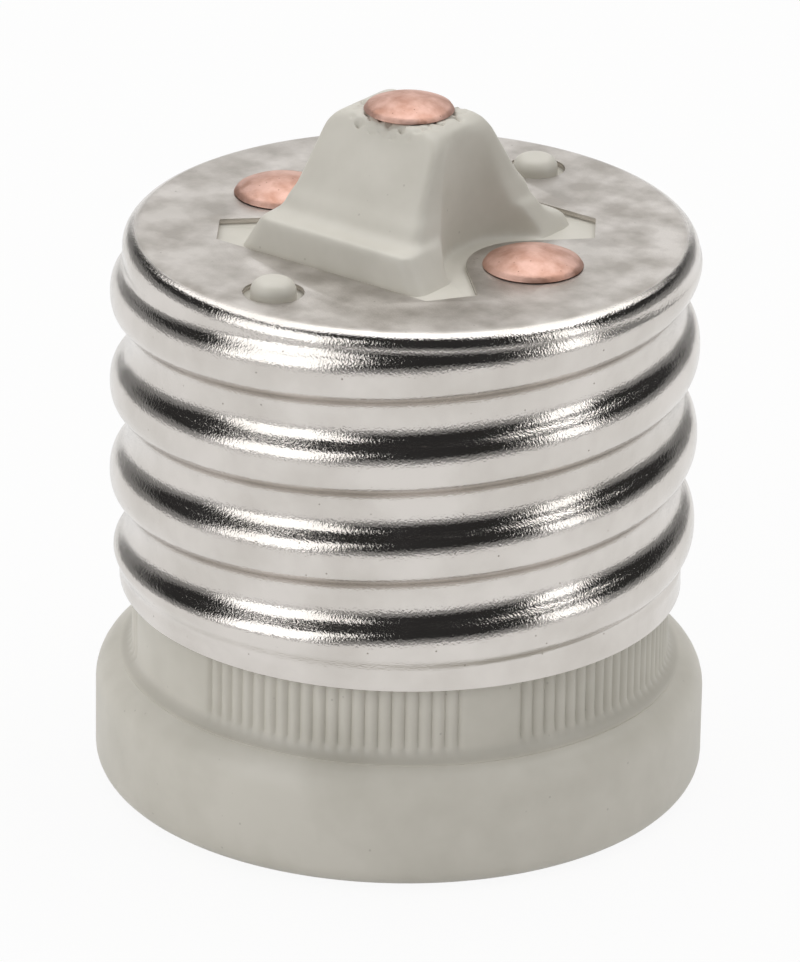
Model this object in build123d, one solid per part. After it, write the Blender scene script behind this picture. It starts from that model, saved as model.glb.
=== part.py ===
from build123d import *
import os
from math import acos, ceil, cos, degrees, radians, sin, sqrt

# Porcelain lamp socket adapter: a large screw base outside, a smaller lamp socket inside.
# It stands on the rim of its socket mouth, with the contact tip up. All sizes are millimetres.
# Origin: centre of the mouth rim's plane. +Z: towards the tip. X: line of the two shell rivets.
# Y: line of the two locating pips.

QUARTER_FACETS = 3  # straight facets along a quarter of a turned round

# Outer screw shell, rolled sheet with the large lamp thread of four turns to the inch
THREAD_PITCH = 6.35
THREAD_CREST_RADIUS = 19.65
THREAD_DEPTH = 1.5
THREAD_LAND = 0.1  # height cut off the rounded crest, which leaves a land along it
THREAD_CREST_RISE = 3.9  # from the shell's lower edge to the crest where it passes the +X side
SHELL_HEIGHT = 24.85
SHELL_SHEET = 0.4
SKIRT_STEP = 0.7  # the plain bands at both ends stand out from the thread root
SKIRT_BAND = 1.6
RIM_STEP = 0.55
RIM_BAND = 1.9
RIM_ROUND = 1.2
BAND_SLOPE = 0.9
RUN_OUT_LOW = 1.1  # where the crest dies on the skirt, above the shell's lower edge
RUN_OUT_HIGH = 1.55  # where it dies on the rim, below the shell's top
LEAD_IN = 2.1  # height over which the crest rises from either band
VALLEY_MARGIN = 0.6  # how far the valley's cutter reaches past root and crest

# Porcelain body
COLLAR_RADIUS = 20.4
COLLAR_HEIGHT = 8.4
COLLAR_TOP_ROUND = 2.3
COLLAR_FOOT_ROUND = 1.6
NECK_RADIUS = 18.0
NECK_SHOWING = 5.2  # bare neck between the collar and the shell's lower edge
NECK_OVERLAP = 1.0  # neck hidden inside the shell's skirt
CORE_CLEARANCE = 0.25
RIB_COUNT = 128
RIB_DEPTH = 0.3
PLAIN_LANDS = ((-34.0, 9.5), (-113.0, 30.0))  # centre and span in degrees, repeated half a turn on
ROOT_OVERLAP = 1.0  # how far neck and nose reach into the porcelain that they grow from

# Porcelain nose that stands up through the shell's top
PLINTH_LENGTH = 16.0
PLINTH_WIDTH = 17.6
PLINTH_RISE = 1.9  # above the shell's top face
PLINTH_CORNER = 1.0
PLINTH_BEVEL = 0.4
NOSE_RISE = 8.35  # tip seat above the shell's top face
NOSE_FOOT_LENGTH = 12.6
NOSE_FOOT_WIDTH = 14.0
NOSE_TOP_LENGTH = 8.4
NOSE_TOP_WIDTH = 7.0
NOSE_CORNER = 1.3
NOSE_FLARE = 0.9
NOSE_TOP_BEVEL = 0.6
TOOL_RADIUS = 6.0  # hollow cleared beside each shell rivet for the riveting tool
PIP_CIRCLE_RADIUS = 14.3
PIP_RADIUS = 1.5
PIP_RISE = 1.15
PIP_BEVEL = 0.55
PIP_CLEARANCE = 0.5

# Opening in the shell's top, with a rounded tongue left under each rivet
OPENING_CLEARANCE = 0.55
TONGUE_RADIUS = 4.35
TONGUE_ROOT = 0.3  # the tongue's flanks run this far past the rivet line

# Rivets
RIVET_INSET = 3.05  # from the lamp socket's wall in to the line of the shell rivets
RIVET_SHANK_RADIUS = 1.6
RIVET_HEAD_RADIUS = 3.3
RIVET_HEAD_HEIGHT = 1.15
RIVET_CLEARANCE = 0.1
CLINCH_RADIUS = 2.4
CLINCH_HEIGHT = 0.8
TIP_SHANK_RADIUS = 1.5
TIP_HEAD_RADIUS = 2.97
TIP_HEAD_HEIGHT = 0.95

# Lamp socket inside, for the smaller lamp thread of seven turns to the inch
SOCKET_RADIUS = 13.3
SOCKET_SHEET = 0.4
SOCKET_CLEARANCE = 0.4
SOCKET_DEPTH = 26.0
SOCKET_RECESS = 3.0  # from the mouth to the socket shell's edge
SOCKET_WALL = 18.0  # straight wall that takes the lamp
SOCKET_END_STEP = 0.4  # the sheet lies double round the closed end
SOCKET_FLOOR_HOLE = 6.6
CONTACT_SHEET = 0.5
CONTACT_WIDTH = 6.0
CONTACT_LEG = 3.4  # flat leg to each side of the tip rivet
CONTACT_BEND = 1.5  # centre-line radius of the fold
CONTACT_SLOPE = 0.9  # fall of the free leaf along its length
CONTACT_LIP = 1.2  # turned-up end of the free leaf

# Heights and radii that follow from the sizes above
SHELL_FOOT = COLLAR_HEIGHT + NECK_SHOWING
SHELL_TOP = SHELL_FOOT + SHELL_HEIGHT
BODY_TOP = SHELL_TOP - SHELL_SHEET
PLINTH_TOP = SHELL_TOP + PLINTH_RISE
NOSE_TOP = SHELL_TOP + NOSE_RISE
THREAD_ROOT_RADIUS = THREAD_CREST_RADIUS - THREAD_DEPTH
SKIRT_RADIUS = THREAD_ROOT_RADIUS + SKIRT_STEP
RIM_RADIUS = THREAD_ROOT_RADIUS + RIM_STEP
SHELL_BORE_RADIUS = THREAD_ROOT_RADIUS - SHELL_SHEET
CORE_RADIUS = SHELL_BORE_RADIUS - CORE_CLEARANCE
NECK_TOP = SHELL_FOOT + NECK_OVERLAP
CAVITY_RADIUS = SOCKET_RADIUS + SOCKET_SHEET + SOCKET_CLEARANCE
SOCKET_FLOOR = SOCKET_DEPTH - SOCKET_SHEET
RIVET_CIRCLE_RADIUS = SOCKET_RADIUS - RIVET_INSET
CONTACT_UNDERSIDE = SOCKET_DEPTH - CONTACT_SHEET
RIVET_HOLE_RADIUS = RIVET_SHANK_RADIUS + RIVET_CLEARANCE
TIP_HOLE_RADIUS = TIP_SHANK_RADIUS + RIVET_CLEARANCE
RIVET_PLACES = [(RIVET_CIRCLE_RADIUS, 0), (-RIVET_CIRCLE_RADIUS, 0)]
PIP_PLACES = [(0, PIP_CIRCLE_RADIUS), (0, -PIP_CIRCLE_RADIUS)]
TIP_PLACE = (0, 0)


def turned(corners):
    """Solid turned about the Z axis from the corners of a half section: radius and height."""
    return revolve(Plane.XZ * Polygon(*corners, align=None), axis=Axis.Z)


def round_points(centre, radius, start, end, facets=None):
    """Points along a round of a section, from one angle in degrees to another."""
    facets = facets or max(1, round(abs(end - start) / 90 * QUARTER_FACETS))
    angles = [radians(start + (end - start) * facet / facets) for facet in range(facets + 1)]
    return [(centre[0] + radius * cos(angle), centre[1] + radius * sin(angle)) for angle in angles]


def pins(places, radius, low, high):
    """Plain round pins or hole cutters that stand between two heights."""
    pin = Cylinder(radius, high - low, align=(Align.CENTER, Align.CENTER, Align.MIN))
    return [Pos(x, y, low) * pin for x, y in places]


def dome(radius, rise, seat):
    """Low dome on a flat seat."""
    crown = (radius**2 + rise**2) / (2 * rise)
    centre = (0, seat + rise - crown)
    return turned([(0, seat), *round_points(centre, crown, degrees(acos(radius / crown)), 90)])


def rivet(place, shank_radius, head, head_seat, clinch_seat):
    """One rivet: domed head above, shank through the work, spread end below."""
    shank = pins([(0, 0)], shank_radius, clinch_seat, head_seat)[0]
    clinch = pins([(0, 0)], CLINCH_RADIUS, clinch_seat - CLINCH_HEIGHT, clinch_seat)[0]
    return Pos(*place) * (shank + head + clinch)


def thread_valley():
    """Helical cutter for the rolled thread: a round valley with half a round crest on each side."""
    depth = THREAD_DEPTH + THREAD_LAND
    radius = ((THREAD_PITCH / 4) ** 2 + (depth / 2) ** 2) / depth
    flank = degrees(acos(1 - depth / (2 * radius)))
    crest = degrees(acos(1 - THREAD_LAND / radius)) / 2  # short of the middle, so that turns stay apart
    valley = round_points((THREAD_ROOT_RADIUS + radius, 0), radius, 180 + flank, 180 - flank)
    rise = round_points((THREAD_ROOT_RADIUS + depth - radius, THREAD_PITCH / 2), radius, -flank, -crest, 1)[1:]
    rise.append((THREAD_CREST_RADIUS + VALLEY_MARGIN, rise[-1][1]))
    outline = [(x, -z) for x, z in reversed(rise)] + valley + rise
    turns_below = ceil(THREAD_CREST_RISE / THREAD_PITCH) + 1.5
    start = SHELL_FOOT + THREAD_CREST_RISE - turns_below * THREAD_PITCH
    helix = Helix(THREAD_PITCH, SHELL_TOP + THREAD_PITCH - start, THREAD_CREST_RADIUS)
    section = Plane.XZ * Polygon(*outline, align=None)
    return Pos(0, 0, start) * sweep(section.faces()[0], path=helix, is_frenet=True)


def valley_room():
    """Ring in which the thread's valley is cut, with sloping ends towards the two plain bands."""
    inside = THREAD_ROOT_RADIUS - VALLEY_MARGIN
    outside = THREAD_CREST_RADIUS + 2 * VALLEY_MARGIN

    def fade(radius, step):
        """Height between a band's edge and the sloping end's point at one radius."""
        return (THREAD_ROOT_RADIUS + step - radius) * BAND_SLOPE / step

    low = SHELL_FOOT + SKIRT_BAND
    high = SHELL_TOP - RIM_BAND
    corners = [
        (outside, low + fade(outside, SKIRT_STEP)),
        (inside, low + fade(inside, SKIRT_STEP)),
        (inside, high - fade(inside, RIM_STEP)),
        (outside, high - fade(outside, RIM_STEP)),
    ]
    return turned(corners)


def shell_form():
    """Outer form of the screw shell before its valley is cut: skirt, crest height, rim and flat top."""
    rim = (RIM_RADIUS - RIM_ROUND, SHELL_TOP - RIM_ROUND)
    corners = [
        (0, SHELL_TOP),
        (0, SHELL_FOOT),
        (SKIRT_RADIUS, SHELL_FOOT),
        (SKIRT_RADIUS, SHELL_FOOT + RUN_OUT_LOW),
        (THREAD_CREST_RADIUS, SHELL_FOOT + RUN_OUT_LOW + LEAD_IN),
        (THREAD_CREST_RADIUS, SHELL_TOP - RUN_OUT_HIGH - LEAD_IN),
        (RIM_RADIUS, SHELL_TOP - RUN_OUT_HIGH),
    ]
    return turned(corners + round_points(rim, RIM_ROUND, 0, 90))


def shell_hollow():
    """Room inside the outer shell, wider inside the skirt."""
    skirt_bore = SKIRT_RADIUS - SHELL_SHEET
    corners = [
        (0, SHELL_FOOT),
        (skirt_bore, SHELL_FOOT),
        (skirt_bore, SHELL_FOOT + SKIRT_BAND),
        (SHELL_BORE_RADIUS, SHELL_FOOT + SKIRT_BAND + BAND_SLOPE),
        (SHELL_BORE_RADIUS, BODY_TOP),
        (0, BODY_TOP),
    ]
    return turned(corners)


def shell_opening():
    """Cutter for the nose's opening in the shell's top, round the plinth and the two tongues."""
    half_length = PLINTH_LENGTH / 2 + OPENING_CLEARANCE
    half_width = PLINTH_WIDTH / 2 + OPENING_CLEARANCE
    flank = TONGUE_RADIUS / sqrt(2)  # the tongue's flanks leave its round end at 45 degrees
    shoulder = 2 * flank + TONGUE_ROOT

    def end(side):
        root = (side * (RIVET_CIRCLE_RADIUS + TONGUE_ROOT), side * shoulder)
        touch = (side * (RIVET_CIRCLE_RADIUS - flank), side * flank)
        tip = (side * (RIVET_CIRCLE_RADIUS - TONGUE_RADIUS), 0)
        corner = (side * half_length, side * half_width)
        Polyline((-corner[0], corner[1]), corner, root, touch)
        ThreePointArc(touch, tip, (touch[0], -touch[1]))
        Polyline((touch[0], -touch[1]), (root[0], -root[1]), (corner[0], -corner[1]))

    with BuildSketch() as section:
        with BuildLine():
            end(1)
            end(-1)
        make_face()
    return Pos(0, 0, BODY_TOP) * extrude(section.sketch, SHELL_SHEET)


def outer_screw_shell():
    """Rolled screw shell with a flat top that is pierced for the nose, the rivets and the pips."""
    shell = shell_form() - (thread_valley() & valley_room())
    holes = pins(RIVET_PLACES, RIVET_HOLE_RADIUS, BODY_TOP, SHELL_TOP)
    holes += pins(PIP_PLACES, PIP_RADIUS + PIP_CLEARANCE, BODY_TOP, SHELL_TOP)
    return shell - shell_hollow() - shell_opening() - holes


def collar_and_core():
    """Turned porcelain: rounded collar, plain core inside the shell, socket cavity below."""
    foot = (COLLAR_RADIUS - COLLAR_FOOT_ROUND, COLLAR_FOOT_ROUND)
    shoulder = (COLLAR_RADIUS - COLLAR_TOP_ROUND, COLLAR_HEIGHT - COLLAR_TOP_ROUND)
    cavity = [(0, SOCKET_DEPTH), (CAVITY_RADIUS, SOCKET_DEPTH), (CAVITY_RADIUS, 0)]
    collar = round_points(foot, COLLAR_FOOT_ROUND, -90, 0) + round_points(shoulder, COLLAR_TOP_ROUND, 0, 90)
    core = [(CORE_RADIUS, COLLAR_HEIGHT), (CORE_RADIUS, BODY_TOP), (0, BODY_TOP)]
    return turned(cavity + collar + core)


def ribbed_neck():
    """Neck of the porcelain with fine upright ribs, left plain over a few lands."""
    half_step = 180 / RIB_COUNT

    def is_plain(angle):
        offsets = [((angle - centre + 90) % 180 - 90, span) for centre, span in PLAIN_LANDS]
        return any(abs(offset) < span / 2 for offset, span in offsets)

    outline = []
    for place in range(2 * RIB_COUNT):
        angle = place * half_step
        is_groove = place % 2 and not is_plain(angle)
        radius = NECK_RADIUS - RIB_DEPTH if is_groove else NECK_RADIUS
        outline.append((radius * cos(radians(angle)), radius * sin(radians(angle))))
    low = COLLAR_HEIGHT - ROOT_OVERLAP
    return Pos(0, 0, low) * extrude(Polygon(*outline, align=None), NECK_TOP - low)


def nose():
    """Blunt four-sided nose on a low plinth, hollowed on two sides beside the rivets."""

    def outline(height, length, width, corner, growth=0):
        corners = Rectangle(length + 2 * growth, width + 2 * growth).vertices()
        return Pos(0, 0, height) * chamfer(corners, corner)

    plinth = (PLINTH_LENGTH, PLINTH_WIDTH, PLINTH_CORNER)
    foot = (NOSE_FOOT_LENGTH, NOSE_FOOT_WIDTH, NOSE_CORNER)
    top = (NOSE_TOP_LENGTH, NOSE_TOP_WIDTH, NOSE_CORNER)
    low_sections = [
        outline(BODY_TOP - ROOT_OVERLAP, *plinth),
        outline(PLINTH_TOP - PLINTH_BEVEL, *plinth),
        outline(PLINTH_TOP, *plinth, -PLINTH_BEVEL),
    ]
    high_sections = [
        outline(PLINTH_TOP, *foot, NOSE_FLARE),
        outline(PLINTH_TOP + NOSE_FLARE, *foot),
        outline(NOSE_TOP - NOSE_TOP_BEVEL, *top),
        outline(NOSE_TOP, *top, -NOSE_TOP_BEVEL),
    ]
    form = loft(low_sections, ruled=True) + loft(high_sections, ruled=True)
    return form - pins(RIVET_PLACES, TOOL_RADIUS, BODY_TOP, NOSE_TOP)


def locating_pips():
    """Two small bevelled pips that key the shell's top to the porcelain."""
    pip = pins([(0, 0)], PIP_RADIUS, BODY_TOP - ROOT_OVERLAP, SHELL_TOP + PIP_RISE)[0]
    pip = chamfer(pip.edges().sort_by(Axis.Z)[-1], PIP_BEVEL)
    return [Pos(x, y) * pip for x, y in PIP_PLACES]


def porcelain_body():
    """One casting: collar, ribbed neck, core, nose and pips, pierced for the three rivets."""
    body = collar_and_core() + (ribbed_neck() - pins([TIP_PLACE], CORE_RADIUS, 0, NECK_TOP))
    body = body + [nose(), *locating_pips()]
    holes = pins(RIVET_PLACES, RIVET_HOLE_RADIUS, SOCKET_DEPTH, BODY_TOP)
    holes += pins([TIP_PLACE], TIP_HOLE_RADIUS, SOCKET_DEPTH, NOSE_TOP)
    return body - holes


def socket_screw_shell():
    """Drawn cup of the lamp socket: plain wall at the thread's outer size, closed end with a pierced floor."""
    outside = SOCKET_RADIUS + SOCKET_SHEET
    wall_top = SOCKET_RECESS + SOCKET_WALL
    end_radius = SOCKET_RADIUS - SOCKET_END_STEP
    corners = [
        (outside, SOCKET_RECESS),
        (outside, SOCKET_DEPTH),
        (SOCKET_FLOOR_HOLE, SOCKET_DEPTH),
        (SOCKET_FLOOR_HOLE, SOCKET_FLOOR),
        (end_radius, SOCKET_FLOOR),
        (end_radius, wall_top),
        (SOCKET_RADIUS, wall_top),
        (SOCKET_RADIUS, SOCKET_RECESS),
    ]
    return turned(corners) - pins(RIVET_PLACES, RIVET_HOLE_RADIUS, SOCKET_FLOOR, SOCKET_DEPTH)


def centre_contact():
    """Spring strip folded back under itself, riveted through its flat leg."""
    leg_height = SOCKET_DEPTH - CONTACT_SHEET / 2
    leaf_height = leg_height - 2 * CONTACT_BEND
    free_end = (-CONTACT_LEG, leaf_height - CONTACT_SLOPE)
    with BuildLine(Plane.XZ) as strip:
        Line((-CONTACT_LEG, leg_height), (CONTACT_LEG, leg_height))
        ThreePointArc(
            (CONTACT_LEG, leg_height),
            (CONTACT_LEG + CONTACT_BEND, leg_height - CONTACT_BEND),
            (CONTACT_LEG, leaf_height),
        )
        Polyline((CONTACT_LEG, leaf_height), free_end, (free_end[0] - CONTACT_LIP, free_end[1] + CONTACT_LIP))
    start = Plane(strip.line @ 0, x_dir=(0, 1, 0), z_dir=strip.line % 0)
    contact = sweep(start * Rectangle(CONTACT_WIDTH, CONTACT_SHEET), path=strip.line, transition=Transition.RIGHT)
    return contact - pins([TIP_PLACE], TIP_HOLE_RADIUS, CONTACT_UNDERSIDE, SOCKET_DEPTH)


def tip_rivet():
    """Long rivet through the nose: its head is the base contact, its end holds the socket contact."""
    head = dome(TIP_HEAD_RADIUS, TIP_HEAD_HEIGHT, NOSE_TOP)
    return rivet(TIP_PLACE, TIP_SHANK_RADIUS, head, NOSE_TOP, CONTACT_UNDERSIDE)


def shell_rivets():
    """The two rivets that clamp outer shell, porcelain and socket shell together."""
    head = dome(RIVET_HEAD_RADIUS, RIVET_HEAD_HEIGHT, SHELL_TOP)
    return [rivet(place, RIVET_SHANK_RADIUS, head, SHELL_TOP, SOCKET_FLOOR) for place in RIVET_PLACES]


NODES = {
    "porcelain_body": porcelain_body(),
    "outer_screw_shell": outer_screw_shell(),
    "socket_screw_shell": socket_screw_shell(),
    "centre_contact": centre_contact(),
    "tip_rivet": tip_rivet(),
    "shell_rivets": Compound(children=shell_rivets()),
}

os.makedirs("parts", exist_ok=True)
for name, solid in NODES.items():
    export_step(solid, f"parts/{name}.step")
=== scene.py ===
import logging
import math
from dataclasses import dataclass
from enum import Enum
from typing import Any, Callable, Sequence

import bmesh
import bpy
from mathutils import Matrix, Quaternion, Vector, noise


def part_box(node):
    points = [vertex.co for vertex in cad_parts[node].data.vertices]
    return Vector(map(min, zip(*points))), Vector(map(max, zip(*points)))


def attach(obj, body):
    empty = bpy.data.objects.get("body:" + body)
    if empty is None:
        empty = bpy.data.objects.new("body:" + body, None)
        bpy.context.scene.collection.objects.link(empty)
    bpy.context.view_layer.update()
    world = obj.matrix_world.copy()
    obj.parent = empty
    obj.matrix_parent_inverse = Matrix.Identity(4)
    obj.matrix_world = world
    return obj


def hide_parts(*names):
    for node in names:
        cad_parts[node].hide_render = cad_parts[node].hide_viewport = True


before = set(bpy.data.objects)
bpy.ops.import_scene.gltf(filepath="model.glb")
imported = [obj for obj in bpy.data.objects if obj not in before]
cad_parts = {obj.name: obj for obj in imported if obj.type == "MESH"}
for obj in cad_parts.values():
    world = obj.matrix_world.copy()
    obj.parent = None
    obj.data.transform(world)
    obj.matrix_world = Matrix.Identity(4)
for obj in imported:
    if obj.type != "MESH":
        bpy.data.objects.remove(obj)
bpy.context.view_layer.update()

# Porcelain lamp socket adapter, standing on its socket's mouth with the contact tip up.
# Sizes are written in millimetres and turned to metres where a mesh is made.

MM = 0.001
BODY = "root"
SHELL_FOOT, SHELL_TOP = (corner.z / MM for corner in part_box("outer_screw_shell"))
NOSE_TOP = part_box("porcelain_body")[1].z / MM
SHEET = 0.4
BODY_TOP = SHELL_TOP - SHEET
RIVET_LINE = 10.25
PIP_LINE = 14.3
WELD = 1e-7  # metres within which points are merged
HAIR = 1e-3  # allowance in millimetres when an edge is picked by its height
UPRIGHT = 0.9  # least Z share of an upright edge's direction or a level face's normal
LEVEL = 0.5  # most Z share of a level edge's direction
Point = tuple[float, float]
log = logging.getLogger("adapter")


class Slot(Enum):
    """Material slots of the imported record."""

    PORCELAIN = "porcelain"
    PLATE = "plated_shell"
    BRASS = "socket_brass"
    COPPER = "copper"


class Pick(Enum):
    """What an edit-mode selection is made of."""

    VERTS = "VERT"
    EDGES = "EDGE"
    FACES = "FACE"


def to_object_mode() -> None:
    """Leaves edit mode, with nothing selected."""
    if bpy.context.mode != "OBJECT":
        bpy.ops.object.mode_set(mode="OBJECT")
    bpy.ops.object.select_all(action="DESELECT")


def edit(piece: bpy.types.Object) -> None:
    """Opens one piece in edit mode, with nothing of it selected.

    Args:
        piece: The mesh object to edit.
    """
    to_object_mode()
    piece.select_set(True)
    bpy.context.view_layer.objects.active = piece
    bpy.ops.object.mode_set(mode="EDIT")
    bpy.ops.mesh.select_all(action="DESELECT")


def pick(piece: bpy.types.Object, kind: Pick, wanted: Callable[[Vector, Vector], bool]) -> None:
    """Selects elements of the piece in edit mode by their place and direction.

    Args:
        piece: The piece that is open in edit mode.
        kind: Vertices, edges or faces.
        wanted: Takes the element's middle in millimetres, and its normal or an edge's direction.
    """
    bpy.ops.mesh.select_mode(type=kind.value)
    bpy.ops.mesh.select_all(action="DESELECT")
    mesh = bmesh.from_edit_mesh(piece.data)
    if kind is Pick.FACES:
        for face in mesh.faces:
            face.select_set(wanted(face.calc_center_median() / MM, face.normal))
    elif kind is Pick.EDGES:
        for edge in mesh.edges:
            start, end = (vert.co for vert in edge.verts)
            edge.select_set(wanted((start + end) / 2 / MM, (end - start).normalized()))
    else:
        for vert in mesh.verts:
            vert.select_set(wanted(vert.co / MM, vert.normal))
    mesh.select_flush_mode()
    bmesh.update_edit_mesh(piece.data)


def take_new(name: str) -> bpy.types.Object:
    """Names the primitive that was just added and puts its place into its mesh.

    Args:
        name: The piece's name.

    Returns:
        The new object.
    """
    piece = bpy.context.object
    piece.name = name
    piece.data.name = name
    bpy.ops.object.transform_apply(location=True, rotation=True, scale=True)
    return piece


def face_outwards() -> None:
    """Turns the faces of the piece that is open in edit mode outwards, and leaves edit mode."""
    bpy.ops.mesh.select_all(action="SELECT")
    bpy.ops.mesh.normals_make_consistent(inside=False)
    to_object_mode()


def draw_ring(section: Sequence[Point]) -> None:
    """Extrudes the selected ring of edges from point to point, resizing it round the axis.

    Args:
        section: Radius and height of each ring in millimetres, from the selected one on.
    """
    for (radius, height), (next_radius, next_height) in zip(section, section[1:]):
        rise = (0, 0, (next_height - height) * MM)
        bpy.ops.mesh.extrude_edges_move(TRANSFORM_OT_translate={"value": rise})
        share = next_radius / radius
        bpy.ops.transform.resize(value=(share, share, 1), center_override=(0, 0, 0))


def turned(name: str, section: Sequence[Point], segments: int) -> bpy.types.Object:
    """Turns a half section: a ring is drawn from point to point, and both ends are filled.

    Args:
        name: The piece's name.
        section: Radius and height of each ring in millimetres, none of them at radius 0.
        segments: Edges in each ring.

    Returns:
        The closed piece, with its faces outwards.
    """
    to_object_mode()
    radius, height = section[0]
    bpy.ops.mesh.primitive_circle_add(vertices=segments, radius=radius * MM, location=(0, 0, height * MM))
    piece = take_new(name)
    edit(piece)
    bpy.ops.mesh.select_all(action="SELECT")
    bpy.ops.mesh.edge_face_add()
    bpy.ops.mesh.select_mode(type="EDGE")
    draw_ring(section)
    bpy.ops.mesh.edge_face_add()
    bpy.ops.mesh.select_all(action="SELECT")
    bpy.ops.mesh.remove_doubles(threshold=WELD)
    face_outwards()
    return piece


def threaded_wall(
    name: str, heights: Point, tube: float, segments: int, rings: int, thread: Callable[[float, float], float]
) -> bpy.types.Object:
    """Models an open wall with a rolled thread: a tube is cut into rings, which are drawn to the thread.

    Args:
        name: The piece's name.
        heights: Height of the lower and of the upper edge.
        tube: Radius of the plain tube.
        segments: Edges round it.
        rings: Cuts along it.
        thread: Gives the radius from the angle in turns and the height.

    Returns:
        The wall, open in edit mode with its upper edge selected.
    """
    low, high = heights
    height = high - low
    to_object_mode()
    bpy.ops.mesh.primitive_cylinder_add(
        vertices=segments,
        radius=tube * MM,
        depth=height * MM,
        end_fill_type="NOTHING",
        location=(0, 0, (low + height / 2) * MM),
    )
    wall = take_new(name)
    edit(wall)
    pick(wall, Pick.EDGES, lambda middle, way: abs(way.z) > UPRIGHT)
    bpy.ops.mesh.subdivide(number_cuts=rings)
    to_object_mode()

    def threaded(place: Vector) -> Vector:
        """Place of one point on the thread."""
        angle = math.atan2(place.y, place.x)
        radius = thread(angle / math.tau, place.z)
        return Vector((radius * math.cos(angle), radius * math.sin(angle), place.z))

    move_points(wall, threaded)
    edit(wall)
    pick(wall, Pick.EDGES, lambda middle, way: middle.z > high - HAIR and abs(way.z) < LEVEL)
    return wall


def move_points(piece: bpy.types.Object, moved: Callable[[Vector], Vector]) -> None:
    """Moves each vertex of a piece by a rule in millimetres.

    Args:
        piece: The piece, in object mode.
        moved: Gives a vertex's new place from its old one.
    """
    for vert in piece.data.vertices:
        vert.co = moved(vert.co / MM) * MM
    piece.data.update()


def apply_modifier(piece: bpy.types.Object, kind: str, **settings: Any) -> None:
    """Adds one modifier to a piece and applies it.

    Args:
        piece: The piece to finish.
        kind: Blender's name for the modifier's type.
        settings: The modifier's properties.
    """
    to_object_mode()
    piece.select_set(True)
    bpy.context.view_layer.objects.active = piece
    modifier = piece.modifiers.new(kind.lower(), kind)
    for key, value in settings.items():
        setattr(modifier, key, value)
    bpy.ops.object.modifier_apply(modifier=modifier.name)
    to_object_mode()


def cut(piece: bpy.types.Object, tool: bpy.types.Object, operation: str = "DIFFERENCE") -> None:
    """Cuts a piece with a tool, or fuses the two, and removes the tool.

    Args:
        piece: The piece that stays.
        tool: The closed mesh that is used up.
        operation: The boolean modifier's operation.
    """
    apply_modifier(piece, "BOOLEAN", object=tool, operation=operation, solver="EXACT")
    bpy.data.objects.remove(tool, do_unlink=True)


def join(pieces: Sequence[bpy.types.Object]) -> bpy.types.Object:
    """Joins meshes into the first of them.

    Args:
        pieces: The objects to join.

    Returns:
        The first object.
    """
    to_object_mode()
    for piece in pieces:
        piece.select_set(True)
    bpy.context.view_layer.objects.active = pieces[0]
    bpy.ops.object.join()
    to_object_mode()
    return pieces[0]


def copy_moved(piece: bpy.types.Object, offset: tuple[float, float, float]) -> bpy.types.Object:
    """Copies a piece with its own mesh, moved aside.

    Args:
        piece: The piece to copy.
        offset: Move in millimetres.

    Returns:
        The copy.
    """
    twin = piece.copy()
    twin.data = piece.data.copy()
    bpy.context.scene.collection.objects.link(twin)
    move_points(twin, lambda place: place + Vector(offset))
    return twin


def rod(
    name: str, place: Point, radius: float, low: float, high: float, segments: int = 96
) -> bpy.types.Object:
    """Makes a plain round cutter that stands between two heights.

    Args:
        name: The tool's name.
        place: Its axis in plan.
        radius: Its radius.
        low: Its lower end.
        high: Its upper end.
        segments: Edges round it.

    Returns:
        The tool.
    """
    tool = turned(name, [(radius, low), (radius, high)], segments)
    move_points(tool, lambda point: point + Vector((*place, 0)))
    return tool


def arc(centre: Point, radius: float, start: float, end: float, steps: int) -> list[Point]:
    """Points along a round of a section.

    Args:
        centre: Radius and height of the round's centre.
        radius: The round's own radius.
        start: First angle in degrees.
        end: Last angle in degrees.
        steps: Edges along it.

    Returns:
        The points, both ends included.
    """
    angles = [math.radians(start + (end - start) * step / steps) for step in range(steps + 1)]
    return [(centre[0] + radius * math.cos(a), centre[1] + radius * math.sin(a)) for a in angles]


def soft_least(a: float, b: float, blend: float) -> float:
    """Smaller of two values, with a rounded corner where they cross.

    Args:
        a: One value.
        b: The other value.
        blend: Difference within which the corner is rounded.

    Returns:
        The rounded minimum.
    """
    share = max(blend - abs(a - b), 0) / blend
    return min(a, b) - share * share * blend / 4


def soft_most(a: float, b: float, blend: float) -> float:
    """Larger of two values, with a rounded corner where they cross."""
    return -soft_least(-a, -b, blend)


def ramp(value: float, low: float, high: float) -> float:
    """Smooth share from 0 to 1 of a value between two limits."""
    share = min(max((value - low) / (high - low), 0), 1)
    return share * share * (3 - 2 * share)


def smooth(piece: bpy.types.Object, degrees: float) -> None:
    """Shades a piece smooth except across sharp edges.

    Args:
        piece: The finished piece.
        degrees: Angle past which an edge stays sharp.
    """
    to_object_mode()
    piece.select_set(True)
    bpy.context.view_layer.objects.active = piece
    bpy.ops.object.shade_smooth_by_angle(angle=math.radians(degrees), keep_sharp_edges=False)
    to_object_mode()


def finish_piece(
    piece: bpy.types.Object, slot: Slot, look: bpy.types.Material, *nodes: str
) -> bpy.types.Object:
    """Gives a piece its finish and its place in the frame.

    Args:
        piece: The finished piece.
        slot: The record's slot that the finish belongs to. Not used.
        look: Its material.
        nodes: The CAD nodes that it stands for.

    Returns:
        The piece.
    """
    piece.data.materials.clear()
    piece.data.materials.append(look)
    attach(piece, BODY)
    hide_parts(*nodes)
    log.info("%s: %d faces", piece.name, len(piece.data.polygons))
    return piece


def linear(code: str) -> tuple[float, float, float, float]:
    """Turns an sRGB hex code to a linear colour.

    Args:
        code: Six hex digits.

    Returns:
        Red, green, blue and alpha.
    """
    parts = [int(code[place : place + 2], 16) / 255 for place in (0, 2, 4)]
    red, green, blue = (p / 12.92 if p <= 0.04045 else ((p + 0.055) / 1.055) ** 2.4 for p in parts)
    return red, green, blue, 1.0


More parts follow.
